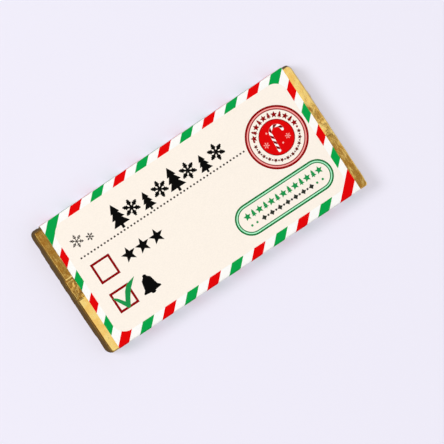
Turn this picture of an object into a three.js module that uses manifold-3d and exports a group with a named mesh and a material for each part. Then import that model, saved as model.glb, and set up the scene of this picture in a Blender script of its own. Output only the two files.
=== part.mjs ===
// A mini chocolate bar in its wrapper: a bar wrapped in gold foil, inside a
// printed paper sleeve that is open at both ends. Millimetres, +Z up.
// The bar lies flat with its printed side up. +X runs along its length, and the
// origin is the middle of the underside, on the surface that the bar lies on.

import * as THREE from 'three';
import { mergeVertices } from 'three/addons/utils/BufferGeometryUtils.js';
import Module from 'manifold-3d';

// Paper sleeve, over all
const SLEEVE_LENGTH = 89.2;
const SLEEVE_WIDTH = 44.9;
const SLEEVE_HEIGHT = 7.2;
const PAPER_THICKNESS = 0.2;
const FOLD_RADIUS = 0.55; // outside radius of the four long folds

// Glued lap of the sleeve, on its underside
const LAP_EDGE_Y = -5.0; // where the outer layer ends
const LAP_WIDTH = 12.0; // how far the inner layer runs on above it
const LAP_RAMP = 0.9; // length over which the inner layer climbs on to the outer one
const LAP_CREASE = 0.15; // open crease beside the cut edge of the outer layer

// Bar in its foil, over all
const BAR_LENGTH = 96.0;
const PAPER_GAP = 0.2; // air between the foil and the paper
const BAR_WIDTH = SLEEVE_WIDTH - 2 * (PAPER_THICKNESS + PAPER_GAP);
const BAR_FOOT_Z = 2 * PAPER_THICKNESS + PAPER_GAP;
const BAR_TOP_Z = SLEEVE_HEIGHT - PAPER_THICKNESS - PAPER_GAP;

// Moulded form of the bar
const END_DRAFT = 0.9; // how far each end wall leans in between foot and top
const SIDE_DRAFT = 0.45; // how far each long wall does
const CORNER_RADIUS = 2.0; // upright corners, at the foot
const FOOT_ROUNDING = 0.35;
const TOP_ROUNDING = 0.5;

// Breaking groove that shows through the foil along the middle of the top
const GROOVE_WIDTH = 7.3; // between the walls of the two rows of blocks, at the top
const GROOVE_DEPTH = 1.7;
const GROOVE_WALL_LEAN = 1.0; // how far each wall leans in towards the floor
const GROOVE_SHOULDER = 0.35; // rounding of the blocks' edges
const GROOVE_FILLET = 0.5; // rounding at the groove's floor

// Fineness of the rounded stretches
const CORNER_STEPS = 8;
const ROUNDING_STEPS = 4;
const FOLD_STEPS = 6;

const HALF_PI = Math.PI / 2;

const foilFinish = new THREE.MeshStandardMaterial({ color: 0xd9a94a, roughness: 0.32, metalness: 1.0 });
const paperFinish = new THREE.MeshStandardMaterial({ color: 0xfcf4ea, roughness: 0.6, metalness: 0.0 });

// A rounded rectangle round the origin, as points walked anticlockwise.
function roundedRectangle(length, width, radius, steps) {
  const x = length / 2 - radius;
  const y = width / 2 - radius;
  const outline = new THREE.Shape();
  outline.absarc(x, y, radius, 0, HALF_PI);
  outline.absarc(-x, y, radius, HALF_PI, Math.PI);
  outline.absarc(-x, -y, radius, Math.PI, 3 * HALF_PI);
  outline.absarc(x, -y, radius, 3 * HALF_PI, 4 * HALF_PI);
  return outline.getPoints(steps);
}

// Each level of the bar's side, from the foot up: its height, how much of the walls' lean
// lies below it, and how far the edge's rounding alone stands in at it.
function barLevels() {
  const levels = [];
  const wallFootZ = BAR_FOOT_Z + FOOT_ROUNDING;
  const leanShareAt = (z) => Math.max(z - wallFootZ, 0) / (BAR_TOP_Z - wallFootZ);
  for (let step = 0; step <= ROUNDING_STEPS; step += 1) {
    const turn = (HALF_PI * step) / ROUNDING_STEPS;
    const z = BAR_FOOT_Z + FOOT_ROUNDING * (1 - Math.cos(turn));
    levels.push({ z, leanShare: leanShareAt(z), rounding: FOOT_ROUNDING * (1 - Math.sin(turn)) });
  }
  for (let step = 0; step <= ROUNDING_STEPS; step += 1) {
    const turn = (HALF_PI * step) / ROUNDING_STEPS;
    const z = BAR_TOP_Z - TOP_ROUNDING * (1 - Math.sin(turn));
    levels.push({ z, leanShare: leanShareAt(z), rounding: TOP_ROUNDING * (1 - Math.cos(turn)) });
  }
  return levels;
}

// A closed body through a stack of outlines that all have the same number of points.
function stackOutlines(outlines, heights) {
  const count = outlines[0].length;
  const positions = [];
  outlines.forEach((outline, level) => {
    outline.forEach((point) => positions.push(point.x, point.y, heights[level]));
  });
  const faces = [];
  for (let level = 0; level < outlines.length - 1; level += 1) {
    for (let i = 0; i < count; i += 1) {
      const a = level * count + i;
      const b = level * count + ((i + 1) % count);
      faces.push(a, b, b + count, a, b + count, a + count);
    }
  }
  const footCentre = positions.length / 3;
  const topCentre = footCentre + 1;
  positions.push(0, 0, heights[0], 0, 0, heights[heights.length - 1]);
  const topRing = (outlines.length - 1) * count;
  for (let i = 0; i < count; i += 1) {
    const next = (i + 1) % count;
    faces.push(footCentre, next, i);
    faces.push(topCentre, topRing + i, topRing + next);
  }
  const body = new THREE.BufferGeometry();
  body.setAttribute('position', new THREE.Float32BufferAttribute(positions, 3));
  body.setIndex(faces);
  return body;
}

// The moulded bar without its groove: leaning walls, round upright corners and
// softened edges, all rounded over by the foil.
function barBody() {
  const levels = barLevels();
  const outlines = levels.map(({ leanShare, rounding }) => {
    const length = BAR_LENGTH - 2 * (END_DRAFT * leanShare + rounding);
    const width = BAR_WIDTH - 2 * (SIDE_DRAFT * leanShare + rounding);
    const radius = Math.max(CORNER_RADIUS - (END_DRAFT * leanShare + rounding) / 2, TOP_ROUNDING);
    return roundedRectangle(length, width, radius, CORNER_STEPS);
  });
  return stackOutlines(outlines, levels.map(({ z }) => z));
}

// The section of the breaking groove, drawn in the plane across the bar. It flares
// out over the rounded shoulders of the blocks and is rounded at its floor.
function grooveSection() {
  const mouth = GROOVE_WIDTH / 2;
  const floor = mouth - GROOVE_WALL_LEAN;
  const wallTurn = Math.atan2(GROOVE_WALL_LEAN, GROOVE_DEPTH);
  const floorZ = BAR_TOP_Z - GROOVE_DEPTH;
  const shoulderZ = BAR_TOP_Z - GROOVE_SHOULDER;
  const shoulderY = mouth + GROOVE_SHOULDER;
  const filletY = floor - GROOVE_FILLET * Math.tan((HALF_PI - wallTurn) / 2);
  const filletZ = floorZ + GROOVE_FILLET;
  const clearZ = BAR_TOP_Z + 1;
  const section = new THREE.Shape();
  section.moveTo(-shoulderY, clearZ);
  section.lineTo(-shoulderY, BAR_TOP_Z);
  section.absarc(-shoulderY, shoulderZ, GROOVE_SHOULDER, HALF_PI, wallTurn, true);
  section.absarc(-filletY, filletZ, GROOVE_FILLET, Math.PI + wallTurn, 3 * HALF_PI, false);
  section.absarc(filletY, filletZ, GROOVE_FILLET, 3 * HALF_PI, 4 * HALF_PI - wallTurn, false);
  section.absarc(shoulderY, shoulderZ, GROOVE_SHOULDER, Math.PI - wallTurn, HALF_PI, true);
  section.lineTo(shoulderY, clearZ);
  return section;
}

// Extrudes a section of the plane across the bar along X, centred on the origin.
// The section's first axis becomes Y and its second Z.
function extrudeAlongBar(section, length, curveSegments) {
  const body = new THREE.ExtrudeGeometry(section, { depth: length, bevelEnabled: false, curveSegments });
  body.translate(0, 0, -length / 2);
  const across = new THREE.Matrix4().makeBasis(
    new THREE.Vector3(0, 1, 0),
    new THREE.Vector3(0, 0, 1),
    new THREE.Vector3(1, 0, 0),
  );
  return body.applyMatrix4(across);
}

// One boundary of the sleeve's section, walked anticlockwise from the lap: layer 0 is
// the outside of the paper and layer 1 the inside.
function sleeveBoundary(layer) {
  const offset = layer * PAPER_THICKNESS;
  const radius = FOLD_RADIUS - offset;
  const y = SLEEVE_WIDTH / 2 - FOLD_RADIUS;
  const low = FOLD_RADIUS;
  const high = SLEEVE_HEIGHT - FOLD_RADIUS;
  const lapEnd = LAP_EDGE_Y + layer * LAP_WIDTH;
  const rampEnd = LAP_EDGE_Y - LAP_CREASE;
  const boundary = new THREE.Path();
  boundary.moveTo(lapEnd, offset);
  boundary.absarc(y, low, radius, -HALF_PI, 0);
  boundary.absarc(y, high, radius, 0, HALF_PI);
  boundary.absarc(-y, high, radius, HALF_PI, Math.PI);
  boundary.absarc(-y, low, radius, Math.PI, 3 * HALF_PI);
  boundary.lineTo(rampEnd - LAP_RAMP, offset);
  boundary.lineTo(rampEnd, offset + PAPER_THICKNESS);
  boundary.lineTo(lapEnd, offset + PAPER_THICKNESS);
  return boundary.getPoints(FOLD_STEPS);
}

// The sleeve: one strip of paper folded round the bar, its two ends glued in a lap.
function sleeveBody() {
  const section = new THREE.Shape(sleeveBoundary(0));
  section.holes.push(new THREE.Path(sleeveBoundary(1)));
  return extrudeAlongBar(section, SLEEVE_LENGTH, FOLD_STEPS);
}

const wasm = await Module();
wasm.setup();

function toSolid(geometry) {
  const bare = geometry.clone();
  bare.deleteAttribute('normal');
  bare.deleteAttribute('uv');
  const merged = mergeVertices(bare, 1e-4);
  return new wasm.Manifold(new wasm.Mesh({
    numProp: 3,
    vertProperties: new Float32Array(merged.attributes.position.array),
    triVerts: new Uint32Array(merged.index.array),
  }));
}

function toGeometry(solid) {
  const mesh = solid.getMesh();
  const geometry = new THREE.BufferGeometry();
  geometry.setAttribute('position', new THREE.BufferAttribute(mesh.vertProperties, 3));
  geometry.setIndex(new THREE.BufferAttribute(mesh.triVerts, 1));
  geometry.computeVertexNormals();
  return geometry;
}

function foilWrappedBar() {
  const groove = extrudeAlongBar(grooveSection(), BAR_LENGTH + 4, ROUNDING_STEPS);
  const solid = toSolid(barBody()).subtract(toSolid(groove));
  const mesh = new THREE.Mesh(toGeometry(solid), foilFinish);
  mesh.name = 'foil_wrapped_bar';
  return mesh;
}

function paperSleeve() {
  const mesh = new THREE.Mesh(sleeveBody(), paperFinish);
  mesh.name = 'paper_sleeve';
  return mesh;
}

const miniChocolateBar = new THREE.Group();
miniChocolateBar.add(foilWrappedBar(), paperSleeve());

export default miniChocolateBar;
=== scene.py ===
# %% [markdown]
# # A mini chocolate bar in gold foil and a printed paper sleeve
# The real thing is a thin moulded bar. Gold foil is folded tightly round it, and a strip
# of printed paper is glued round the foil, so that gold shows only at the two ends.
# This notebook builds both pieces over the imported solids: the foil as one crinkled
# skin, and the paper as a flat printed strip that is then folded into a sleeve.
# Lengths are worked out in millimetres and turned into metres when a mesh is made.

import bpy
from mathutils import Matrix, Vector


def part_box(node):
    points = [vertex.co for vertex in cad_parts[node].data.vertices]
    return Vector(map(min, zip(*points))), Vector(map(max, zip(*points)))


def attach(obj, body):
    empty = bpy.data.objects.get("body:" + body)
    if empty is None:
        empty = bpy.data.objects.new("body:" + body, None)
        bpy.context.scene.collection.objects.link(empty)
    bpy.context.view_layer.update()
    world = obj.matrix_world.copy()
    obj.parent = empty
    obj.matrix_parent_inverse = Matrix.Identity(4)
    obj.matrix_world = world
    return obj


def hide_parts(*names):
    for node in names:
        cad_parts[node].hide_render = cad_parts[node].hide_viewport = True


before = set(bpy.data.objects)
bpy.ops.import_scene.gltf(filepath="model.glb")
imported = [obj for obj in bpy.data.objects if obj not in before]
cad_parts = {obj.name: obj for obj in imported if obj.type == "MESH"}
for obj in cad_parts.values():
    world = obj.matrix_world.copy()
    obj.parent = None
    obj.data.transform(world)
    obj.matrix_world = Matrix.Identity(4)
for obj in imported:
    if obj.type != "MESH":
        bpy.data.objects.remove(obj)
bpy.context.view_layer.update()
print("nodes in the frame:", sorted(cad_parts))

# %% [markdown]
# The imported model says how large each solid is, as a box. The foil and the sleeve take
# their outer measures from these boxes. The numbers could be typed in again, but then
# the two models could drift apart.

# %% Tools, and the boxes of the two solids
import math

import bpy
import numpy as np
from mathutils import Matrix, Vector, geometry

MM = 0.001
scene = bpy.context.scene
root_collection = scene.collection


def box_in_mm(node):
    """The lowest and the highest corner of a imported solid, in millimetres."""
    low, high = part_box(node)
    return np.array(low) / MM, np.array(high) / MM


foil_low, foil_high = box_in_mm("foil_wrapped_bar")
sleeve_low, sleeve_high = box_in_mm("paper_sleeve")
print("foil, mm:", np.round(foil_high - foil_low, 2))
print("sleeve, mm:", np.round(sleeve_high - sleeve_low, 2))

# %% [markdown]
# ## The camera
# The bar was photographed from almost straight above, with its long side rising to the
# right. A camera could be pushed about until the picture fits, but three unit vectors
# built from measured angles need no trial and error: one points back to the camera, one
# to the right in the picture and one up in it. A long lens far away keeps the sleeve's
# edges parallel, as they are in the picture.

# %% Hang the camera
PICTURE_SIDE = 444  # pixels, both ways
PIXELS_PER_MM = 3.253
CAMERA_DISTANCE = 2000.0
SENSOR_WIDTH = 36.0
SEEN_FROM, SEEN_TO = 0.1, 20.0  # metres from the camera
LEAN_TO_LEFT_END = math.radians(5.4)
LEAN_TO_FAR_SIDE = math.radians(2.3)
RISE_OF_LONG_SIDE = math.radians(33.22)
MIDDLE_IN_PICTURE = (200.7, 207.9)  # pixels from the upper left corner

to_camera = Vector((-math.tan(LEAN_TO_LEFT_END), math.tan(LEAN_TO_FAR_SIDE), 1.0)).normalized()
level_right = Vector((math.cos(RISE_OF_LONG_SIDE), -math.sin(RISE_OF_LONG_SIDE), 0.0))
picture_right = (level_right - level_right.dot(to_camera) * to_camera).normalized()
picture_up = to_camera.cross(picture_right)

sleeve_top_middle = Vector((0.0, 0.0, sleeve_high[2]))
off_right = (PICTURE_SIDE / 2 - MIDDLE_IN_PICTURE[0]) / PIXELS_PER_MM
off_down = (PICTURE_SIDE / 2 - MIDDLE_IN_PICTURE[1]) / PIXELS_PER_MM
aim = sleeve_top_middle + off_right * picture_right - off_down * picture_up

lens_data = bpy.data.cameras.new("picture_camera")
lens_data.sensor_width = SENSOR_WIDTH
lens_data.lens = SENSOR_WIDTH * CAMERA_DISTANCE * PIXELS_PER_MM / PICTURE_SIDE
lens_data.clip_start = SEEN_FROM
lens_data.clip_end = SEEN_TO
camera = bpy.data.objects.new("picture_camera", lens_data)
root_collection.objects.link(camera)
turned = Matrix((picture_right, picture_up, to_camera)).transposed().to_4x4()
camera.matrix_world = Matrix.Translation((aim + CAMERA_DISTANCE * to_camera) * MM) @ turned
scene.camera = camera
print("camera at, m:", [round(value, 3) for value in camera.matrix_world.translation])

# %% [markdown]
# The same vectors say where any point falls in the picture. The sleeve's corners are
# easy to find there, so their pixels show whether the measured angles are right.

# %% Where the sleeve's corners fall
def pixel_of(point):
    """Where a point, in millimetres, falls in the picture."""
    ray = Vector(point) - (aim + CAMERA_DISTANCE * to_camera)
    zoom = PIXELS_PER_MM * CAMERA_DISTANCE / -ray.dot(to_camera)
    across = PICTURE_SIDE / 2 + zoom * ray.dot(picture_right)
    down = PICTURE_SIDE / 2 - zoom * ray.dot(picture_up)
    return round(across, 1), round(down, 1)


for end in (sleeve_low[0], sleeve_high[0]):
    for side in (sleeve_low[1], sleeve_high[1]):
        print("sleeve corner in the picture:", pixel_of((end, side, sleeve_high[2])))

# %% [markdown]
# ## Light, sky and floor
# Foil shows its surroundings more than its own colour, so the surroundings matter as
# much as the lamp. Product pictures are taken between white screens that leave a gap
# overhead, where the camera hangs. The screens could be glowing planes, but a world that
# is coloured by the direction of each ray does the same without noise. A helper adds
# its nodes, and the finishes use the same helper later on.

# %% An empty world
def add_node(tree, kind, inputs=(), **settings):
    """Adds a node, sets its options, and fills or links the inputs that are given."""
    made = tree.nodes.new(kind)
    for name, value in settings.items():
        setattr(made, name, value)
    for name, value in dict(inputs).items():
        if isinstance(value, bpy.types.NodeSocket):
            tree.links.new(value, made.inputs[name])
        else:
            made.inputs[name].default_value = value
    return made


world = bpy.data.worlds.new("studio")
world.use_nodes = True
scene.world = world
sky = world.node_tree
background = sky.nodes["Background"]
direction = add_node(sky, "ShaderNodeTexCoord").outputs["Generated"]
parts = add_node(sky, "ShaderNodeSeparateXYZ", {"Vector": direction})
ray_x, ray_y, ray_z = (parts.outputs[axis] for axis in "XYZ")
print("world nodes so far:", [node.name for node in sky.nodes])

# %% [markdown]
# In the upper half of the room, a ray that swings along the bar from left to right meets
# a dim room, a white screen, the dim gap overhead, the other screen and a bright room.
# They could be blended one by one, but a colour ramp holds them all in a row, and each
# edge is moved or softened by one number.

# %% The room along the bar
LEFT_ROOM = (0.18, 0.125, 0.06, 1.0)
RIGHT_ROOM = (0.90, 0.89, 0.92, 1.0)
SCREEN = (1.42, 1.42, 1.44, 1.0)
OVERHEAD = (0.42, 0.27, 0.105, 1.0)
# From straight left (-1) over the top (0) to straight right (1)
ROOM_FROM_LEFT = (
    (-1.0, LEFT_ROOM), (-0.57, LEFT_ROOM), (-0.48, SCREEN), (-0.13, SCREEN),
    (0.0, OVERHEAD), (0.19, OVERHEAD), (0.36, SCREEN), (0.60, SCREEN), (0.72, RIGHT_ROOM),
)

from_left = add_node(sky, "ShaderNodeMapRange", {"Value": ray_x, "From Min": -1.0})
along_bar = add_node(sky, "ShaderNodeValToRGB", {"Fac": from_left.outputs["Result"]})
stops = along_bar.color_ramp.elements
for number, (along, colour) in enumerate(ROOM_FROM_LEFT):
    stop = stops[number] if number < 2 else stops.new((along + 1) / 2)
    stop.position, stop.color = (along + 1) / 2, colour
print("along the bar: room, screen, gap, screen and room, in", len(stops), "stops")

# %% [markdown]
# Screens stand on the near and the far side too. They end towards the left, where plain
# walls stand on both sides of the dim room. On the far side the gap runs on between
# them, and a dark room lies behind it. One ramp can't hold two directions, so these
# parts are blended in by smooth steps, with a few more helpers.

# %% The near and the far side of the room
LEFT_WALL = (0.40, 0.33, 0.26, 1.0)
FAR_ROOM = (0.15, 0.10, 0.05, 1.0)
# Each pair says from where to where one part gives way to the next, in the ramp's measure
GAP_TO_SIDE_SCREENS = (0.22, 0.38)  # towards the near and the far side
SIDE_SCREENS_TO_WALL = (0.72, 0.86)  # the same way, further down
SIDE_SCREENS_END_LEFT = (-0.42, -0.56)  # along the bar
FAR_ROOM_STARTS = (0.20, 0.34)  # towards the far side
FAR_ROOM_LEFT_EDGE = (-0.16, -0.02)  # along the bar
FAR_ROOM_RIGHT_EDGE = (0.36, 0.22)


def combined(tree, operation, *values):
    """A socket with the result of a calculation on one value or two."""
    made = add_node(tree, "ShaderNodeMath", dict(enumerate(values)), operation=operation)
    return made.outputs["Value"]


def smooth_step(tree, value, start, end):
    """A socket that goes smoothly from 0 at start to 1 at end."""
    limits = {"Value": value, "From Min": start, "From Max": end}
    made = add_node(tree, "ShaderNodeMapRange", limits, interpolation_type="SMOOTHSTEP")
    return made.outputs["Result"]


def blended(tree, share, first, second):
    """A colour socket that goes from first to second as share goes from 0 to 1."""
    mix = add_node(tree, "ShaderNodeMix", data_type="RGBA")
    for socket, value in ((mix.inputs[0], share), (mix.inputs[6], first), (mix.inputs[7], second)):
        if isinstance(value, bpy.types.NodeSocket):
            tree.links.new(value, socket)
        else:
            socket.default_value = value
    return mix.outputs[2]


aside = combined(sky, "ABSOLUTE", ray_y)
past_side = smooth_step(sky, aside, *SIDE_SCREENS_TO_WALL)
past_left = smooth_step(sky, ray_x, *SIDE_SCREENS_END_LEFT)
side_screens = blended(sky, combined(sky, "MAXIMUM", past_side, past_left), SCREEN, LEFT_WALL)
past_gap = smooth_step(sky, aside, *GAP_TO_SIDE_SCREENS)
between = blended(sky, past_gap, along_bar.outputs["Color"], side_screens)
past_left_edge = smooth_step(sky, ray_x, *FAR_ROOM_LEFT_EDGE)
before_right_edge = smooth_step(sky, ray_x, *FAR_ROOM_RIGHT_EDGE)
in_gap = combined(sky, "MULTIPLY", past_left_edge, before_right_edge)
to_far = smooth_step(sky, ray_y, *FAR_ROOM_STARTS)
above = blended(sky, combined(sky, "MULTIPLY", to_far, in_gap), between, FAR_ROOM)
print("world nodes so far:", len(sky.nodes))

# %% [markdown]
# The steep end walls mirror what lies beside and below the table. In the picture the
# left one is dark and brown, so the room below the left end is dark, and near right it
# is pale. Without this half the walls would mirror the screens and look white.

# %% The lower half of the world
LOW_ROOM = (0.80, 0.76, 0.78, 1.0)
BELOW_LEFT = (0.165, 0.128, 0.096, 1.0)
BELOW_RIGHT = (0.78, 0.70, 0.68, 1.0)
BELOW_TO_LOW_ROOM = (-0.80, -0.40)  # upwards
LOW_ROOM_TO_UPPER_HALF = (-0.30, -0.10)
LEFT_WALL_TO_LOW_ROOM = (0.0, 0.2)  # along the bar
TO_NEAR_RIGHT = (1.0, -0.9, 0.0)
DARK_TO_PALE = (0.08, 0.22)  # along that direction
SKY_STRENGTH = 0.70

both = {0: direction, 1: TO_NEAR_RIGHT}
near_right = add_node(sky, "ShaderNodeVectorMath", both, operation="DOT_PRODUCT").outputs["Value"]
below = blended(sky, smooth_step(sky, near_right, *DARK_TO_PALE), BELOW_LEFT, BELOW_RIGHT)
low_room = blended(sky, smooth_step(sky, ray_x, *LEFT_WALL_TO_LOW_ROOM), LEFT_WALL, LOW_ROOM)
lower_half = blended(sky, smooth_step(sky, ray_z, *BELOW_TO_LOW_ROOM), below, low_room)
upper_share = smooth_step(sky, ray_z, *LOW_ROOM_TO_UPPER_HALF)
sky.links.new(blended(sky, upper_share, lower_half, above), background.inputs["Color"])
background.inputs["Strength"].default_value = SKY_STRENGTH
scene.view_settings.view_transform = "Standard"
print("world nodes in all:", len(sky.nodes))

# %% [markdown]
# One large lamp at the upper left adds the soft, faint shadow on the right. A sun would
# draw it with a hard edge. The foil doesn't mirror the lamp, because its highlights
# are the screens.

# %% The lamp
LAMP_FROM = Vector((-0.55, 0.36, 0.75)).normalized()
LAMP_DISTANCE = 2600.0
LAMP_SIZE = 1200.0  # across the disc
LAMP_POWER = 47.0  # watts

lamp_data = bpy.data.lights.new("soft_lamp", "AREA")
lamp_data.shape = "DISK"
lamp_data.size = LAMP_SIZE * MM
lamp_data.energy = LAMP_POWER
lamp = bpy.data.objects.new("soft_lamp", lamp_data)
root_collection.objects.link(lamp)
lamp.location = LAMP_FROM * LAMP_DISTANCE * MM
lamp.rotation_mode = "QUATERNION"
lamp.rotation_quaternion = LAMP_FROM.to_track_quat("Z", "Y")
lamp.visible_camera = False
lamp.visible_glossy = False
print("lamp at, m:", [round(value, 3) for value in lamp.location])

# %% [markdown]
# Under the bar lies a plain table top. It could be a box, but only its upper face would
# ever be seen, so one wide, flat face is enough.

# %% The table top
FLOOR_REACH = 3.0  # metres from the middle to each edge
FLOOR_DROP = 0.02  # below the paper, so that the two never mix


def add_mesh(name, points, faces):
    """A mesh object made from points in metres."""
    mesh = bpy.data.meshes.new(name)
    mesh.from_pydata([tuple(point) for point in points], [], [tuple(face) for face in faces])
    mesh.update()
    made = bpy.data.objects.new(name, mesh)
    root_collection.objects.link(made)
    return made


corners = [(-1, -1, 0), (1, -1, 0), (1, 1, 0), (-1, 1, 0)]
floor = add_mesh("floor", [Vector(corner) * FLOOR_REACH for corner in corners], [(0, 1, 2, 3)])
floor.location.z = -FLOOR_DROP * MM
print("floor: a plane of", 2 * FLOOR_REACH, "m")

# %% [markdown]
# The shadow in the picture is faint, even right beside the bar. A second lamp could thin
# it, but it would light the bar too. Small goods are often laid on a light table, whose
# top glows and so thins every shadow. This floor does the same: a part of its light is
# its own, and the rest is what it reflects.

# %% A floor that glows a little
FLOOR_COLOUR = (0.739, 0.725, 0.820)  # pale lavender
OWN_LIGHT = 0.50  # share of the floor's light that is its own
LIGHT_FROM_ABOVE = 1.22
FLOOR_ROUGHNESS, FLOOR_GLOSS = 0.9, 0.0


def new_material(name):
    """A material, its node tree and its shader."""
    material = bpy.data.materials.new(name)
    material.use_nodes = True
    tree = material.node_tree
    return material, tree, tree.nodes["Principled BSDF"]


floor_paint, _, floor_shader = new_material("floor_paint")
reflected = [(1 - OWN_LIGHT) * share for share in FLOOR_COLOUR]
floor_shader.inputs["Base Color"].default_value = [*reflected, 1.0]
floor_shader.inputs["Roughness"].default_value = FLOOR_ROUGHNESS
floor_shader.inputs["Specular IOR Level"].default_value = FLOOR_GLOSS
floor_shader.inputs["Emission Color"].default_value = [*FLOOR_COLOUR, 1.0]
floor_shader.inputs["Emission Strength"].default_value = OWN_LIGHT * LIGHT_FROM_ABOVE
floor.data.materials.append(floor_paint)
floor.visible_glossy = False  # the foil's walls mirror the room below the table instead
print("the floor reflects:", [round(share, 3) for share in reflected])

# %% [markdown]
# ## The foil: its form before any crinkle
# Foil is far thinner than anything around it, so it is modelled as the outer skin of the
# wrapped bar and not as a sheet. It could start as a box with bevels, but crinkles need
# an even, fine grid where the foil shows, and only a coarse one under the paper.
# So its parts are drawn one by one: one grid for the top, one for the underside, and rows
# of points that climb the walls between them. All three share the same edge points.

# %% Grid lines, fine where the foil shows
END_LENGTH = 6.0  # of the fine grid, at each end
END_STEP = 0.12  # along the bar there
COARSE_STEP = 7.0  # along the bar under the paper
SIDE_STEP = 0.18  # across the bar
GROOVE_STEP = 0.10  # across it near the groove
GROOVE_REACH = 5.0  # how far from the middle that goes
half_length, half_width = (foil_high[:2] - foil_low[:2]) / 2
inner = half_length - END_LENGTH
fine_count = round(END_LENGTH / END_STEP)
left_lines = np.linspace(-half_length, -inner, fine_count, endpoint=False)
middle_lines = np.linspace(-inner, inner, round(2 * inner / COARSE_STEP), endpoint=False)
right_lines = np.linspace(inner, half_length, fine_count + 1)
lines_along = np.concatenate([left_lines, middle_lines, right_lines])
side_count = round((half_width - GROOVE_REACH) / SIDE_STEP)
groove_count = round(2 * GROOVE_REACH / GROOVE_STEP)
groove_lines = np.linspace(-GROOVE_REACH, GROOVE_REACH, groove_count, endpoint=False)
near_lines = np.linspace(-half_width, -GROOVE_REACH, side_count, endpoint=False)
far_lines = np.linspace(GROOVE_REACH, half_width, side_count + 1)
lines_across = np.concatenate([near_lines, groove_lines, far_lines])
grid_x, grid_y = np.meshgrid(lines_along, lines_across, indexing="ij")
print("foil grid:", grid_x.shape)

# %% [markdown]
# The moulded bar narrows from its foot to its top, because it has to leave its mould.
# Its upright corners are round at the foot, and the stretched foil makes them sharper
# towards the top. No two of them are alike. A bevel would give them all one radius, so
# each measure is set at the four corners instead, and changes evenly in between.

# %% Measures that differ from corner to corner
# At the near left, the far left, the near right and the far right corner
CORNERS_AT_FOOT = (2.1, 1.8, 1.1, 2.1)
CORNERS_AT_TOP = (0.4, 0.6, 0.9, 1.5)


def between_corners(x, y, values):
    """A measure that is set at the four corners, and changes evenly from one to the next."""
    near_left, far_left, near_right, far_right = values
    to_right = (x / half_length + 1) / 2
    to_far = (y / half_width + 1) / 2
    near = near_left + (near_right - near_left) * to_right
    far = far_left + (far_right - far_left) * to_right
    return near + (far - near) * to_far


def corner_rounded(x, y, radius):
    """Draws in the corners of a rectangular grid to a radius, and leaves the rest as it is."""
    past_x = np.clip((np.abs(x) - (half_length - radius)) / radius, 0, 1)
    past_y = np.clip((np.abs(y) - (half_width - radius)) / radius, 0, 1)
    pull_x = radius * past_x * (1 - np.sqrt(1 - past_y**2 / 2))
    pull_y = radius * past_y * (1 - np.sqrt(1 - past_x**2 / 2))
    return x - np.sign(x) * pull_x, y - np.sign(y) * pull_y


for level, radii in (("foot", CORNERS_AT_FOOT), ("top", CORNERS_AT_TOP)):
    mean_radius = between_corners(0.0, 0.0, radii)
    drawn_in = corner_rounded(-half_length, -half_width, radii[0])[0] + half_length
    print(level, "radius on the mean, mm:", round(mean_radius, 2))
    print(level, "corner at the near left is drawn in, mm:", round(float(drawn_in), 2))

# %% [markdown]
# Outside the sleeve the foil stands off the bar a little, out to the sleeve's own width.
# Edge loops could be scaled level by level to follow all this, but one function that
# places any point of the grid at any height keeps all levels in step.

# %% Place a grid point at a height
ENDS = (-half_length, half_length)
FOOT_ROUNDING = 0.35
LOOSE_AT_ENDS = (0.32, 0.06)  # how far the foil stands off the bar's two ends
LOOSE_AT_SIDES = (0.4, 0.14)  # and outside the sleeve off its near and its far side
LOOSE_FROM = 0.15  # how far outside the sleeve's mouth that starts
LOOSENS_OVER = 0.4  # and the length over which it grows
# How far the walls lean in from foot to top, at the four corners in the same order
END_LEANS = (1.22, 0.78, 0.60, 0.95)
SIDE_LEANS = (0.0, 0.67, 0.10, 0.52)
wall_foot = foil_low[2] + FOOT_ROUNDING
bar_top = foil_high[2]


def on_the_bar(x, y, z, rounding):
    """Points of the bar's skin: the grid point (x, y) at height z, set in by the edge's rounding."""
    climbed = np.clip((z - wall_foot) / (bar_top - wall_foot), 0, 1)
    radius_at_foot = between_corners(x, y, CORNERS_AT_FOOT)
    radius = radius_at_foot + (between_corners(x, y, CORNERS_AT_TOP) - radius_at_foot) * climbed
    round_x, round_y = corner_rounded(x, y, radius)
    set_in_x = between_corners(x, y, END_LEANS) * climbed + rounding - np.interp(x, ENDS, LOOSE_AT_ENDS)
    outside = np.clip((np.abs(x) - sleeve_high[0] - LOOSE_FROM) / LOOSENS_OVER, 0, 1)
    loose_at_side = outside * np.interp(y, (-half_width, half_width), LOOSE_AT_SIDES)
    set_in_y = between_corners(x, y, SIDE_LEANS) * climbed + rounding - loose_at_side
    narrow_x, narrow_y = 1 - set_in_x / half_length, 1 - set_in_y / half_width
    return np.stack([round_x * narrow_x, round_y * narrow_y, z + 0 * x], axis=-1)


print("walls climb, mm: from", round(float(wall_foot), 2), "to", round(float(bar_top), 2))

# %% [markdown]
# Between the two rows of blocks runs a breaking groove, and the foil is pressed down
# into it. The groove could be sculpted, but a function for the depth at any place is
# exact, and each measure can be changed in one line. Both of its walls follow a profile:
# a rolled shoulder, a steep fall, a narrow crease at its foot and a soft rise.

# %% Profile of the groove
GROOVE_EDGES = {"left": (-3.05, 4.05), "right": (-3.2, 3.4)}
# How deep the foil lies at a distance inside the groove's edge, as a share of the depth
WALL_DISTANCES = (-0.45, 0.0, 0.25, 0.5, 1.1)
FAR_WALL_SHARES = (0.0, 0.08, 1.05, 0.94, 1.0)
NEAR_WALL_SHARES = (0.0, 0.08, 1.05, 0.87, 0.91)
FALL_FROM_NEAR_WALL = (2.05, 1.04)  # where the floor's slow fall ends, and its depth there


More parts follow.
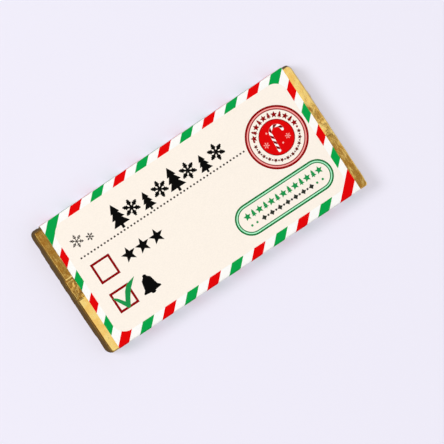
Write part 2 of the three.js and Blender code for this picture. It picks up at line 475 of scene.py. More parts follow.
def groove_share(x, y):
    """1 on the groove's floor and 0 on the blocks, by the wall's profile between them."""
    low = np.where(x < 0, GROOVE_EDGES["left"][0], GROOVE_EDGES["right"][0])
    high = np.where(x < 0, GROOVE_EDGES["left"][1], GROOVE_EDGES["right"][1])
    fall_ends, deepest = FALL_FROM_NEAR_WALL
    from_near = np.interp(y - low, (*WALL_DISTANCES, fall_ends), (*NEAR_WALL_SHARES, deepest))
    from_far = np.interp(high - y, WALL_DISTANCES, FAR_WALL_SHARES)
    return np.minimum(from_near, from_far)


each_mm = np.arange(-4.0, 6.0)
print("depth at each mm across the groove:", np.round(groove_share(-half_length, each_mm), 2))

# %% [markdown]
# At the right end the foil spans the groove's mouth, and there it has a small tuck: two
# three-cornered facets that fall away from the paper and end in a sharp crease. Edges
# could be cut into the mesh for them, but the grid is fine enough to show them without,
# so a second function gives their depth.

# %% A three-cornered tuck
TUCK_START = 45.48  # x of the grid just under the paper; the walls' lean draws it in by 1 mm
# A large facet with a small one on its near side
TUCK_PLACES = (-2.5, -1.95, -1.55, -1.3, -0.6, 1.9, 2.3)  # y
TUCK_REACHES = (0.0, 1.2, 0.2, 1.7, 1.9, 0.5, 0.0)  # how far they run out from the start there
TUCK_SLOPE = 0.22
TUCK_EDGE = 0.25  # width of the step at its slanted edges
TUCK_CREASE = (0.20, 0.28)  # depth of the crease along them, and its width to each side
CREASE_GROWTH = 0.5  # the reach at which that crease has its full depth


def eased(share):
    """Turns a share from 0 to 1 into one that starts and ends gently."""
    share = np.clip(share, 0, 1)
    return share * share * (3 - 2 * share)


def tuck_depth(x, y):
    """A three-cornered facet that falls away from the paper and ends in a step up again."""
    reach_here = np.interp(y, TUCK_PLACES, TUCK_REACHES, left=0.0, right=0.0)
    out = x - TUCK_START
    past_edge = np.clip((out - reach_here) / TUCK_EDGE, 0, 1)
    facet = TUCK_SLOPE * (np.clip(out, 0, reach_here) - reach_here * past_edge)
    from_edge = np.abs(out - reach_here - TUCK_EDGE / 2)
    crease_depth, crease_side = TUCK_CREASE
    crease = crease_depth * eased(reach_here / CREASE_GROWTH)
    return facet + crease * np.clip(1 - from_edge / crease_side, 0, 1)


print("deepest point of the tuck, mm:", round(float(tuck_depth(grid_x, grid_y).max()), 2))

# %% [markdown]
# The block tops fall off a little to the ends, each by its own slope, and so each of
# them mirrors another part of the room. Groove, tuck and slopes could be pressed into
# the finished mesh one by one. They are taken off the bar's height in one function
# instead, because the top, the walls and the crinkles all have to ask for the same height.

# %% Height of the foil's top
GROOVE_DEPTH = 1.3
SINKING = (41.5, 45.3)  # x of the grid, from where to where the foil leaves the right groove
SLOPE_PLACES = (-21.0, -3.6, -3.0, 4.5, 9.0, 21.0)
LEFT_SLOPES = (0.190, 0.160, 0.000, 0.000, 0.000, -0.010)
RIGHT_SLOPES = (0.020, 0.064, 0.085, 0.050, 0.130, 0.200)
SLOPE_START = 43.9  # from the middle to where the block tops begin to fall


def top_height(x, y):
    """How high the foil's top lies at a place: the bar's top less the fall and the groove."""
    at_left = x < 0
    risen = eased((x - SINKING[0]) / (SINKING[1] - SINKING[0]))
    depth = GROOVE_DEPTH * (1 - risen) * groove_share(x, y) + tuck_depth(x, y)
    left_slope = np.interp(y, SLOPE_PLACES, LEFT_SLOPES)
    right_slope = np.interp(y, SLOPE_PLACES, RIGHT_SLOPES)
    fall = np.where(at_left, left_slope, right_slope) * np.maximum(np.abs(x) - SLOPE_START, 0)
    return bar_top - fall - depth


print("top of the foil, mm:", round(float(top_height(grid_x, grid_y).max()), 2))

# %% [markdown]
# The edge points of the grid, walked once round, are the columns of the walls. Each
# column climbs from the underside over the foot's rounding, up the leaning wall and
# over the upper edge, up to the height that the top has there. At the left end the
# foil rolls over the edge in a shoulder that is taller than it is wide. A bevel would
# give one rounding all round, and here it has to change from corner to corner.

# %% Rows of points up the walls
WALL_STEPS = 26
FOOT_STEPS = 4
EDGE_STEPS = 9
# At the four corners, in the same order as before
TOP_ROUNDINGS = (0.55, 0.38, 0.22, 0.40)
EDGE_STRETCH = (2.5, 2.5, 1.0, 1.0)  # how many times as tall as it is wide the rounding is
nx, ny = grid_x.shape

all_x, inner_y = np.arange(nx), np.arange(1, ny - 1)
walk_i = np.concatenate([all_x, np.full(ny - 2, nx - 1), all_x[::-1], np.zeros(ny - 2, int)])
walk_j = np.concatenate([np.zeros(nx, int), inner_y, np.full(nx, ny - 1), inner_y[::-1]])
edge_x, edge_y = grid_x[walk_i, walk_j], grid_y[walk_i, walk_j]
edge_top = top_height(edge_x, edge_y)
edge_rounding = between_corners(edge_x, edge_y, TOP_ROUNDINGS)

wall_rows = []
for step in range(1, FOOT_STEPS + 1):
    turn = math.pi / 2 * step / FOOT_STEPS
    height = foil_low[2] + FOOT_ROUNDING * (1 - math.cos(turn)) + 0 * edge_x
    wall_rows.append(on_the_bar(edge_x, edge_y, height, FOOT_ROUNDING * (1 - math.sin(turn))))
edge_height = edge_rounding * between_corners(edge_x, edge_y, EDGE_STRETCH)
for step in range(1, WALL_STEPS):
    height = wall_foot + (edge_top - edge_height - wall_foot) * step / WALL_STEPS
    wall_rows.append(on_the_bar(edge_x, edge_y, height, 0.0))
for step in range(EDGE_STEPS):
    turn = math.pi / 2 * step / EDGE_STEPS
    height = edge_top - edge_height * (1 - math.sin(turn))
    wall_rows.append(on_the_bar(edge_x, edge_y, height, edge_rounding * (1 - math.cos(turn))))
print("wall:", len(wall_rows), "rows of", len(edge_x), "points")

# %% [markdown]
# Underside, walls and top share their edge points, so all that is left is to number the
# points and to list the faces between them. A bridging tool could join three meshes,
# but it would choose the partners itself.

# %% Join top, walls and underside into one skin
underside = on_the_bar(grid_x, grid_y, foil_low[2] + 0 * grid_x, FOOT_ROUNDING)
top_rounding = between_corners(grid_x, grid_y, TOP_ROUNDINGS)
top = on_the_bar(grid_x, grid_y, top_height(grid_x, grid_y), top_rounding)
skin_points = np.concatenate([underside.reshape(-1, 3), top.reshape(-1, 3), *wall_rows])

number = np.arange(nx * ny).reshape(nx, ny)
corner_numbers = [number[:-1, :-1], number[1:, :-1], number[1:, 1:], number[:-1, 1:]]
quads = np.stack(corner_numbers, axis=-1).reshape(-1, 4)
ring_numbers = [number[walk_i, walk_j]]
for row in range(len(wall_rows)):
    ring_numbers.append(2 * nx * ny + row * len(edge_x) + np.arange(len(edge_x)))
ring_numbers.append(nx * ny + number[walk_i, walk_j])

skin_faces = [quads[:, ::-1], quads + nx * ny]
for lower, upper in zip(ring_numbers, ring_numbers[1:]):
    skin_faces.append(np.stack([lower, np.roll(lower, -1), np.roll(upper, -1), upper], axis=-1))
foil = add_mesh("foil_wrap", skin_points * MM, np.concatenate(skin_faces))
print("foil skin:", len(foil.data.vertices), "points,", len(foil.data.polygons), "faces")

# %% [markdown]
# ## The foil: folds and crinkles
# Crumpled foil is made of small flat facets that meet in straight creases. Smooth noise
# gives hills like dough. A zigzag wave has flat slopes and sharp turns, and several
# of them, laid in random directions and slightly bent, add up to facets and creases.
# The crinkles are moved into the mesh itself, so that their creases catch real light.

# %% A crease pattern made of zigzag waves
def zigzag(phase):
    """A wave of straight slopes between -1 and 1."""
    return 4 * np.abs(phase - np.floor(phase) - 0.5) - 1


FACET_LENGTHS = (0.7, 1.9)  # of the zigzag waves, in sizes of a facet
BEND_LENGTH, BEND_HEIGHT = 2.6, 0.35  # of the bends in the creases, in the same measure
PATCH_LENGTH = 4  # of the patches in which a wave is strong or weak
PATCH_STRENGTH, PATCH_SWING = 0.6, 0.4


def creases(points, size, waves, seed):
    """Facets about size mm wide, as heights between about -1 and 1."""
    random = np.random.default_rng(seed)
    total = np.zeros(len(points))
    for _ in range(waves):
        heading = random.normal(size=3)
        heading /= np.linalg.norm(heading)
        bend_heading = random.normal(size=3) / (size * BEND_LENGTH)
        stretch = size * random.uniform(*FACET_LENGTHS)
        bend = BEND_HEIGHT * np.sin(points @ bend_heading * 2 * math.pi + random.uniform(0, 6))
        patch_heading = random.normal(size=3) / (size * PATCH_LENGTH)
        patch_wave = np.sin(points @ patch_heading * 2 * math.pi + random.uniform(0, 6))
        patch = PATCH_STRENGTH + PATCH_SWING * patch_wave
        total += patch * zigzag(points @ heading / stretch + bend + random.uniform(0, 1))
    return total / math.sqrt(waves)


print("one crease pattern, spread:", round(float(creases(skin_points[:4000], 1.2, 5, 1).std()), 2))

# %% [markdown]
# Fingers also leave single straight creases in foil. Each is a narrow ridge or valley
# along a line, highest in its middle, and slopes away evenly to both sides. Drawing
# them one by one would take long, so they are strewn at random over a region.

# %% Single straight creases
CREASE_WIDTHS = (0.35, 1.3)  # from the line to either side
CREASE_LENGTHS = (0.3, 1.0)  # as shares of the greatest length
FULL_MIDDLE = 0.2  # share of its length over which a crease keeps its height


def straight_creases(across, up, region, count, length, slope, seed, turns=(0.0, math.pi)):
    """Heights in mm of count random creases in a plane, their middles inside region."""
    random = np.random.default_rng(seed)
    (left, right), (low, high) = region
    total = np.zeros(len(across))
    for _ in range(count):
        from_middle = across - random.uniform(left, right), up - random.uniform(low, high)
        turn = random.uniform(*turns)
        along = from_middle[0] * math.cos(turn) + from_middle[1] * math.sin(turn)
        aside = from_middle[1] * math.cos(turn) - from_middle[0] * math.sin(turn)
        width = random.uniform(*CREASE_WIDTHS)
        reach_along = length * random.uniform(*CREASE_LENGTHS)
        fade = np.clip(1 + FULL_MIDDLE - np.abs(along) / reach_along, 0, 1)
        ridge = np.clip(1 - np.abs(aside) / width, 0, 1)
        total += random.choice((-1, 1)) * slope * width * fade * ridge
    return total


trial_line = np.linspace(-3.0, 3.0, 61)
trial_region = ((-3.0, 3.0), (-1.0, 1.0))
trial = straight_creases(trial_line, 0 * trial_line, trial_region, 10, 3.0, 0.1, seed=1)
print("ten trial creases, mm:", round(float(trial.min()), 3), "to", round(float(trial.max()), 3))

# %% [markdown]
# How strongly the foil is crinkled depends on where it is. On the blocks and in the
# groove it was rubbed flat and shows faint facets, and the walls are crumpled most. The
# upper edge stays smooth, because the foil is stretched over it. The parts could be
# painted by hand, but the mesh's own normals and heights tell them apart.

# %% How strongly each part is crinkled
BLOCK_CRINKLE = 0.014
BLOCK_SHARES = (1.2, 1.3, 0.6, 1.0)  # of it, at the four corners
WALL_CRINKLE = 0.055
BELOW_EDGE = 0.9  # the walls' crinkles grow to their full height over this distance
GROOVE_CRINKLE = 0.012
TOP_FROM, TOP_BLEND = 0.6, 0.3  # how much of the top faces up: the least, and the blend to it

normals = np.zeros(len(skin_points) * 3)
foil.data.vertices.foreach_get("normal", normals)
normals = normals.reshape(-1, 3)
x, y, z = skin_points.T

in_groove = groove_share(x, y)
on_top = eased((normals[:, 2] - TOP_FROM) / TOP_BLEND)
on_wall_share = eased((top_height(x, y) - z) / BELOW_EDGE) * (1 - on_top)
strength = BLOCK_CRINKLE * between_corners(x, y, BLOCK_SHARES)
strength = strength + (WALL_CRINKLE - strength) * on_wall_share
strength = strength + (GROOVE_CRINKLE - strength) * in_groove * on_top
print("crinkle strength, mm:", round(float(strength.min()), 3), "to", round(float(strength.max()), 3))

# %% [markdown]
# On the end walls the spare foil was folded over like paper round a parcel: the middle
# flap lies over two tucked corners, and its slanted edges show as small steps. The flap
# could be a mesh of its own, but all that shows of such thin foil is the step. So the
# wall beside the flap is set back by the thickness of the folded foil.

# %% Flaps folded over the end walls
END_FROM, END_BLEND = 0.5, 0.3  # how much of an end wall faces along the bar
FLAP_THICKNESS = 0.15
FLAP_INSET = 1.2  # from the bar's side to the flap's edge, at the top
FLAP_SLANT = 0.95  # how much further in that edge lies for each mm down
FLAP_STEP = 0.25  # width of the step at the edge

on_end_wall = eased((np.abs(normals[:, 0]) - END_FROM) / END_BLEND)
flap_edge = half_width - FLAP_INSET - FLAP_SLANT * (bar_top - z)
on_flap = on_end_wall * eased((flap_edge - np.abs(y)) / FLAP_STEP)
set_back = FLAP_THICKNESS * (on_flap - on_end_wall)
print("step beside a flap, mm:", round(float(set_back.min()), 3))

# %% [markdown]
# All crinkles are added up as one height at each point. Facets of two sizes cover the
# whole foil. One size would look like a pattern, and more than two don't show.

# %% Facets all over
FINE_FACETS, BROAD_FACETS = (1.2, 6), (3.0, 4)  # size in mm, and how many waves make them
FINE_SHARE, BROAD_SHARE = 0.6, 0.7
BROAD_SQUEEZE = (1.0, 0.55, 1.0)  # makes the broad facets longer across the bar

fine = creases(skin_points, *FINE_FACETS, seed=11)
broad = creases(skin_points * BROAD_SQUEEZE, *BROAD_FACETS, seed=5)
lift = strength * (FINE_SHARE * fine + BROAD_SHARE * broad) + set_back
print("facets and flaps, mm:", round(float(lift.min()), 3), "to", round(float(lift.max()), 3))

# %% [markdown]
# Single creases are strewn where the foil shows: faint ones on the blocks, ripples that
# run along the groove, and deeper ones on the end walls. Then each point moves along its
# normal by its height. A displacement node could do that at render time, but a mesh that
# is crinkled itself keeps its form wherever the model goes.

# %% Creases at both ends, and the move
MOST_LIFT = 0.25
CREASES_FROM, CREASES_TO = 43.5, 47  # from the bar's middle to the creases' middles
# How many creases, and their greatest length and slope
BLOCK_CREASES = (60, 3.0)
BLOCK_CREASE_SLOPES = {-1: 0.025, 1: 0.03}  # at the left end and at the right
RIPPLES = (7, 2.5, 0.12)
RIPPLE_TURNS = (-0.7, 0.7)  # from the bar's long direction
WALL_CREASES = (70, 4.0, 0.07)

for way, seed in ((-1, 21), (1, 22)):
    here = way * x > half_length - END_LENGTH
    end_region = sorted((way * CREASES_FROM, way * CREASES_TO))
    block_region = (end_region, (-half_width, half_width))
    groove_region = (end_region, GROOVE_EDGES["left"])
    wall_region = ((-half_width, half_width), (foil_low[2], bar_top))
    on_blocks = straight_creases(x, y, block_region, *BLOCK_CREASES, BLOCK_CREASE_SLOPES[way], seed)
    on_floor = straight_creases(x, y, groove_region, *RIPPLES, seed + 10, RIPPLE_TURNS)
    on_wall = straight_creases(y, z, wall_region, *WALL_CREASES, seed + 20)
    lift += here * on_top * (on_blocks * (1 - in_groove) + on_floor * in_groove)
    lift += here * on_wall_share * on_wall * on_end_wall
lift = np.clip(lift, -MOST_LIFT, MOST_LIFT)

foil_points = skin_points + normals * lift[:, None]
foil.data.vertices.foreach_set("co", (foil_points * MM).ravel())
foil.data.update()
foil.data.shade_smooth()
print("crinkles reach, mm:", round(float(lift.min()), 3), "to", round(float(lift.max()), 3))

# %% [markdown]
# ## The gold finish
# Gold foil is aluminium under a clear yellow lacquer. Light passes the lacquer twice, so
# the metal mirrors in gold. One flat gold would look like plastic, because real foil is
# rubbed in some places and not in others. So a little noise varies its tone and its
# roughness.

# %% Tone and roughness of the gold
GOLD = (0.95, 0.69, 0.205, 1.0)
DEEP_GOLD = (0.92, 0.57, 0.125, 1.0)
BLOTCH_SCALE, RUB_SCALE = 420.0, 900.0  # how many there are to a metre
BLOTCH_DETAIL, RUB_DETAIL = 3.0, 2.0
BLOTCH_LEVELS = (0.35, 0.65)  # of the noise, between which the gold deepens
SMOOTHEST, ROUGHEST = 0.12, 0.26


def noise(tree, place, scale, detail):
    """A socket with soft random blotches, so many to a metre."""
    inputs = {"Vector": place, "Scale": scale, "Detail": detail}
    return add_node(tree, "ShaderNodeTexNoise", inputs).outputs["Fac"]


gold_foil, gold_tree, gold_shader = new_material("gold_foil")
foil_place = add_node(gold_tree, "ShaderNodeTexCoord").outputs["Object"]
blotch_noise = noise(gold_tree, foil_place, BLOTCH_SCALE, BLOTCH_DETAIL)
gold_tone = blended(gold_tree, smooth_step(gold_tree, blotch_noise, *BLOTCH_LEVELS), GOLD, DEEP_GOLD)
gold_tree.links.new(gold_tone, gold_shader.inputs["Base Color"])
rubbing = noise(gold_tree, foil_place, RUB_SCALE, RUB_DETAIL)
rubbed = {"Value": rubbing, "To Min": SMOOTHEST, "To Max": ROUGHEST}
rough = add_node(gold_tree, "ShaderNodeMapRange", rubbed)
gold_tree.links.new(rough.outputs["Result"], gold_shader.inputs["Roughness"])
gold_shader.inputs["Metallic"].default_value = 1.0
print("nodes in the gold so far:", len(gold_tree.nodes))

# %% [markdown]
# The lacquer's own surface adds a thin white gloss. A second shader could be mixed in
# for it, but the coat of the first one does just that. The smallest crinkles are
# smaller than the mesh, and a finer mesh for them would be huge, so a fine bump stands
# for them.

# %% Lacquer and the tiniest crinkles
TINY_SCALE = 2600.0  # how many there are to a metre
TINY_HEIGHT, TINY_STRENGTH = 0.06, 0.35
LACQUER_SHARE, LACQUER_ROUGHNESS = 0.6, 0.12


def add_bump(tree, shader, height, strength, depth):
    """Shades a surface as if it were uneven by a share of depth, in millimetres."""
    relief = {"Height": height, "Strength": strength, "Distance": depth * MM}
    bump = add_node(tree, "ShaderNodeBump", relief)
    tree.links.new(bump.outputs["Normal"], shader.inputs["Normal"])


cells = {"Vector": foil_place, "Scale": TINY_SCALE}
tiny = add_node(gold_tree, "ShaderNodeTexVoronoi", cells, feature="SMOOTH_F1")
add_bump(gold_tree, gold_shader, tiny.outputs["Distance"], TINY_STRENGTH, TINY_HEIGHT)
gold_shader.inputs["Coat Weight"].default_value = LACQUER_SHARE
gold_shader.inputs["Coat Roughness"].default_value = LACQUER_ROUGHNESS
foil.data.materials.append(gold_foil)
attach(foil, "root")
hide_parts("foil_wrapped_bar")
print("foil finished:", foil.data.materials[0].name)

# %% [markdown]
# ## The sleeve: one strip of paper, drawn flat
# A real sleeve is printed flat, cut, and folded round the bar, with its ends glued where
# they overlap on the back. It could be extruded as a ready tube, but then the print
# would have to be bent to fit. Here the work goes in the real order, so the first thing
# needed is the path of the paper round the bar: straight legs, and a quarter turn at
# each fold.

# %% The legs of the path
PAPER_THICKNESS = 0.16
FOLD_RADIUS = 0.55  # outside
LAP_EDGE = -5.0  # y of the outer layer's end, on the back
LAP_WIDTH = 12.0  # how far the inner layer runs on above the outer one
LAP_RAMP = 0.9  # the length over which it climbs there
LAP_GAP = 0.15  # the open crease beside the outer layer's end
GLUE = 0.01
LAP_LIFT = PAPER_THICKNESS + GLUE

sleeve_half = sleeve_high[1]
sleeve_top = sleeve_high[2]
quarter = math.pi / 2
ramp_angle = math.atan2(LAP_LIFT, LAP_RAMP)
ramp_run = math.hypot(LAP_LIFT, LAP_RAMP)
flat_back = sleeve_half - FOLD_RADIUS
wall_run = sleeve_top - 2 * FOLD_RADIUS

# Each leg has a length, and says how far it turns to the right on the way
legs = [
    ("inner lap", LAP_WIDTH + LAP_GAP, 0.0),
    ("ramp, bending down", 0.0, -ramp_angle),
    ("ramp", ramp_run, 0.0),
    ("ramp, bending level", 0.0, ramp_angle),
    ("back, near side", flat_back + LAP_EDGE - LAP_GAP - LAP_RAMP, 0.0),
    ("near lower fold", FOLD_RADIUS * quarter, quarter),
    ("near wall", wall_run, 0.0),
    ("near upper fold", FOLD_RADIUS * quarter, quarter),
    ("front", 2 * flat_back, 0.0),
    ("far upper fold", FOLD_RADIUS * quarter, quarter),
    ("far wall", wall_run, 0.0),
    ("far lower fold", FOLD_RADIUS * quarter, quarter),
    ("back, far side", flat_back - LAP_EDGE, 0.0),
]
print("legs:", len(legs), "and their length, mm:", round(sum(leg[1] for leg in legs), 2))

# %% [markdown]
# The path is walked in small steps, and every step remembers how much paper it used.
# After that, any point of the flat print knows where it goes. A formula for each leg
# would do the same, but a walk needs no special cases.

# %% Walk round the folded section
WALK_STEPS = 40  # on each leg

spot = np.array([LAP_EDGE + LAP_WIDTH, LAP_LIFT])
heading = math.pi  # towards the near side, below the bar
used = 0.0
walk, leg_start = [(used, *spot, heading)], {}
for leg, length, turn in legs:
    leg_start[leg] = used
    if length == 0.0:
        heading -= turn
        continue
    for _ in range(WALK_STEPS):
        middle_heading = heading - turn / WALK_STEPS / 2
        chord = length / WALK_STEPS
        spot = spot + chord * np.array([math.cos(middle_heading), math.sin(middle_heading)])
        heading -= turn / WALK_STEPS
        used += chord
        walk.append((used, *spot, heading))
walk = np.array(walk)
front_middle = leg_start["front"] + flat_back
walk[:, 0] -= front_middle
leg_start = {leg: start - front_middle for leg, start in leg_start.items()}
strip_low, strip_high = walk[0, 0], walk[-1, 0]
print("paper used round the bar, mm:", round(strip_high - strip_low, 2))
print("the walk ends at y, z:", np.round(walk[-1, 1:3], 3))

# %% [markdown]
# ## The print
# Printed fields are flat areas of ink with sharp edges. A picture of the print could be
# laid on as a texture, but areas cut into the mesh stay sharp at any distance and need
# no file. So the print is a list of outlines, each with its ink. A later outline covers
# the earlier ones, as with real layers of ink. Places are in mm from the front's middle,
# and the white sheet itself comes first.

# %% The list of printed outlines
print_layers = []
sheet_half = sleeve_high[0]


def ink(name, *outlines):
    """Prints closed outlines with one ink, over everything printed before."""
    for outline in outlines:
        print_layers.append((name, [(float(u), float(v)) for u, v in outline]))


def box_outline(left, low, right, high):
    """A rectangle, walked anticlockwise."""
    return [(left, low), (right, low), (right, high), (left, high)]


ink("white", box_outline(-sheet_half, strip_low, sheet_half, strip_high))
print("outlines so far:", len(print_layers))

# %% [markdown]
# The border's slanted red and green stripes could be drawn edge by edge. They are one
# pattern instead, at 45 degrees over the whole strip, so the stripes meet at the corners
# and run on over the folds.

# %% Slanted stripes
FIRST_STRIPE, LAST_STRIPE = -6, 21
STRIPE_START = -64.06
STRIPE_PITCH = 8.23
STRIPE_WIDTH = 4.21
STRIPE_REACH = 62.0  # from the front's middle to either end of a stripe

for stripe in range(FIRST_STRIPE, LAST_STRIPE + 1):
    start = STRIPE_START + STRIPE_PITCH * stripe
    end = start + STRIPE_WIDTH
    slanted = [(start - STRIPE_REACH, -STRIPE_REACH), (end - STRIPE_REACH, -STRIPE_REACH),
               (end + STRIPE_REACH, STRIPE_REACH), (start + STRIPE_REACH, STRIPE_REACH)]
    ink("green" if stripe % 2 == 0 else "red", slanted)
print("outlines so far:", len(print_layers))

# %% [markdown]
# Cream fields cover the stripes where none shows: one on the front, and one at each end
# of the strip, which meet on the back. Their corners are round. A bevel tool could round
# them later, but an outline that turns in small steps needs no tool.

# %% Cream fields
FRONT_PANEL = (-42.48, -19.45, 42.26, 20.0)
BACK_PANEL_HALF = 42.3
BACK_BORDER = 2.4
PANEL_CORNER = 4.2
OVERRUN = 20.0  # how far the fields on the back run past the strip, where they are cut off


def rounded_box(left, low, right, high, radius, steps=10):
    """A rectangle with round corners, walked anticlockwise."""
    outline = []
    centres = [(right - radius, high - radius), (left + radius, high - radius),
               (left + radius, low + radius), (right - radius, low + radius)]
    for quadrant, (cu, cv) in enumerate(centres):
        for step in range(steps + 1):
            turn = quarter * (quadrant + step / steps)
            outline.append((cu + radius * math.cos(turn), cv + radius * math.sin(turn)))
    return outline


ink("cream", rounded_box(*FRONT_PANEL, PANEL_CORNER))
back_far = leg_start["far lower fold"] + FOLD_RADIUS * quarter
back_near = leg_start["near lower fold"]
far_panel = (-BACK_PANEL_HALF, back_far + BACK_BORDER, BACK_PANEL_HALF, strip_high + OVERRUN)
near_panel = (-BACK_PANEL_HALF, strip_low - OVERRUN, BACK_PANEL_HALF, back_near - BACK_BORDER)
ink("cream", rounded_box(*far_panel, PANEL_CORNER), rounded_box(*near_panel, PANEL_CORNER))
print("outlines so far:", len(print_layers))

# %% [markdown]
# On the left are a dotted writing line and two check boxes. A frame could be four thin
# strips, but a dark box with a cream one printed over it is simpler and has clean
# corners.

# %% Dotted line and check boxes
LINE_HEIGHT = 7.2
FIRST_DOT, DOT_PITCH, DOTS = -39.25, 1.222, 50
DOT_RADIUS = 0.33
BOX_SIDES = (-38.34, -31.49)
BOX_HEIGHTS = ((-3.06, 3.98), (-13.71, -6.74))
FRAME_LINE = 0.76


def disc(u, v, radius, steps=24):
    """A round field of ink."""
    turns = [2 * math.pi * step / steps for step in range(steps)]
    return [(u + radius * math.cos(turn), v + radius * math.sin(turn)) for turn in turns]


for dot in range(DOTS):
    ink("grey", disc(FIRST_DOT + DOT_PITCH * dot, LINE_HEIGHT, DOT_RADIUS, 10))

left, right = BOX_SIDES
for low, high in BOX_HEIGHTS:
    inside_frame = (left + FRAME_LINE, low + FRAME_LINE, right - FRAME_LINE, high - FRAME_LINE)
    ink("dark red", box_outline(left, low, right, high))
    ink("cream", box_outline(*inside_frame))
print("outlines so far:", len(print_layers))

# %% [markdown]
# The lower box is ticked. The tick could be a stroke of even width, but a brush makes a
# stroke that swells in the middle. So it lies between smooth curves that meet in sharp
# points, each drawn through three points.

# %% Tick
def curve(points, steps):
    """A smooth path that passes through a few points."""
    points = np.array(points, float)
    ends = [2 * points[0] - points[1], *points, 2 * points[-1] - points[-2]]
    path = []
    for a, b, c, d in zip(ends, ends[1:], ends[2:], ends[3:]):
        bend, twist = 2 * a - 5 * b + 4 * c - d, 3 * b - a - 3 * c + d
        for t in np.arange(steps) / steps:
            path.append(0.5 * (2 * b + (c - a) * t + bend * t * t + twist * t**3))
    return np.array([*path, points[-1]])


above_short = curve([(-38.0, -8.3), (-36.7, -9.3), (-35.15, -11.3)], 5)
above_long = curve([(-33.6, -8.6), (-31.9, -7.1), (-28.7, -6.2)], 6)
below_long = curve([(-31.45, -8.75), (-33.2, -11.05), (-34.6, -13.45)], 5)
below_short = curve([(-35.45, -13.5), (-36.85, -10.9), (-38.15, -8.5)], 5)[:-1]
tick = [*above_short, *above_long, *below_long, *below_short][::-1]
ink("tick green", tick)
print("points round the tick:", len(tick))

# %% [markdown]
# Winter ornaments fill the places above the line and beside the boxes. Drawings of them
# could be loaded, but small functions of place and size need no file. Each shape has a
# few straight cuts, as a paper cutter would make it. A fir tree and a bell are the same
# on both sides, so only their right halves are written down.

# %% Stars, fir trees and bells
# Points of the right halves, from the foot up, as shares of the height
FIR_TREE = [(0.055, 0.00), (0.055, 0.14), (0.34, 0.14), (0.15, 0.40), (0.27, 0.40),
            (0.11, 0.64), (0.19, 0.64), (0.0, 1.0)]
BELL = [(0.0, 0.0), (0.10, 0.03), (0.12, 0.10), (0.45, 0.14), (0.46, 0.20), (0.34, 0.32),
        (0.29, 0.55), (0.24, 0.76), (0.10, 0.88), (0.09, 0.96), (0.0, 1.0)]


def mirrored(half, u, foot, height):
    """The whole outline of a shape, from its right half. Points on its axis stay single."""
    right_side = [(u + height * across, foot + height * up) for across, up in half]
    left_side = [(u - height * across, foot + height * up) for across, up in half if across > 0]
    return right_side + left_side[::-1]


def star(u, v, radius, tips=5, waist=0.42, turn=quarter):
    """A star, cut in between its tips as far as waist says."""
    outline = []
    for corner in range(2 * tips):
        reach_here = radius if corner % 2 == 0 else radius * waist
        angle = turn + math.pi * corner / tips
        outline.append((u + reach_here * math.cos(angle), v + reach_here * math.sin(angle)))
    return outline


samples = (star(0, 0, 1), mirrored(FIR_TREE, 0, 0, 1), mirrored(BELL, 0, 0, 1))
print("points round a star, a fir tree and a bell:", [len(outline) for outline in samples])

# %% [markdown]
# A snowflake has six arms, each with two pairs of twigs. One outline round all of them
# would be long to write, so each arm and each twig is a thin stroke of its own, and
# where strokes meet, the ink simply overlaps.

# %% Strokes and snowflakes
TWIGS = ((0.42, 0.30), (0.68, 0.22))  # where a pair leaves the arm and its length, as shares
TWIG_SLANT = 0.7  # how far a twig runs outwards, and as far aside, for its length


def ribbon(path, widths):
    """The outline of a stroke along a path, as wide at each point as widths says."""
    path, widths = np.array(path, float), np.array(widths, float)
    along = np.gradient(path, axis=0)
    along /= np.linalg.norm(along, axis=1)[:, None]
    left = np.stack([-along[:, 1], along[:, 0]], axis=1) * widths[:, None] / 2
    return [tuple(point) for point in np.concatenate([path - left, (path + left)[::-1]])]


def snowflake(u, v, radius, line):
    """A snowflake as a list of thin strokes."""
    flake = []
    middle = np.array([u, v])
    for arm in range(6):
        turn = quarter + math.pi * arm / 3
        out = np.array([math.cos(turn), math.sin(turn)])
        side = np.array([-out[1], out[0]])
        strokes = [(0 * out, radius * out)]
        for start, length in TWIGS:
            for way in (-1, 1):
                twig_end = (start + TWIG_SLANT * length) * out + way * TWIG_SLANT * length * side
                strokes.append((radius * start * out, radius * twig_end))
        for begin, end in strokes:
            flake.append(ribbon([middle + begin, middle + end], [line, line]))
    return flake


print("strokes in a snowflake:", len(snowflake(0, 0, 1, 0.1)))

# %% [markdown]
# Fir trees and snowflakes take turns above the line. They could be placed one by one,
# but all stand at one distance, so a loop does it. Two thin grey snowflakes open the
# row, three stars stand beside the upper box and a bell beside the lower one.

# %% Place the black ornaments
FIRST_TREE, ORNAMENT_PITCH = -23.0, 5.2
TREE_HEIGHTS = (8.3, 6.2, 8.3, 6.2)
TREE_FOOT = LINE_HEIGHT + 0.65
SNOWFLAKE_HEIGHT = LINE_HEIGHT + 4.6

place = FIRST_TREE
for tree_height in TREE_HEIGHTS:
    ink("black", mirrored(FIR_TREE, place, TREE_FOOT, tree_height))
    place += ORNAMENT_PITCH
    ink("black", *snowflake(place, SNOWFLAKE_HEIGHT, 2.8, 0.62))
    place += ORNAMENT_PITCH
ink("grey", *snowflake(-37.6, 12.4, 2.2, 0.26), *snowflake(-33.4, 11.4, 1.3, 0.22))
for place in (-26.3, -21.2, -16.1):
    ink("black", star(place, 0.2, 2.6))
ink("black", mirrored(BELL, -26.1, -14.0, 6.6))
print("outlines so far:", len(print_layers))

# %% [markdown]
# The round stamp is a set of rings. Each could be a band with a hole in it, but it is
# simpler to print from the outside in, each disc covering the middle of the one before.

# %% Rings of the round stamp
STAMP_MIDDLE = (31.65, 5.31)
STAMP_RINGS = (("dark red", 9.94), ("pink", 9.29), ("dark red", 8.87), ("cream", 8.54))
su, sv = STAMP_MIDDLE
for name, radius in STAMP_RINGS:
    ink(name, disc(su, sv, radius, 72))
print("outlines so far:", len(print_layers))

# %% [markdown]
# Stars and small fir trees run round the upper part of its band. They could be drawn in
# their places by hand, but each is placed by its direction from the middle instead. A
# fir tree is drawn upright first and then turned, so that its tip points outwards.

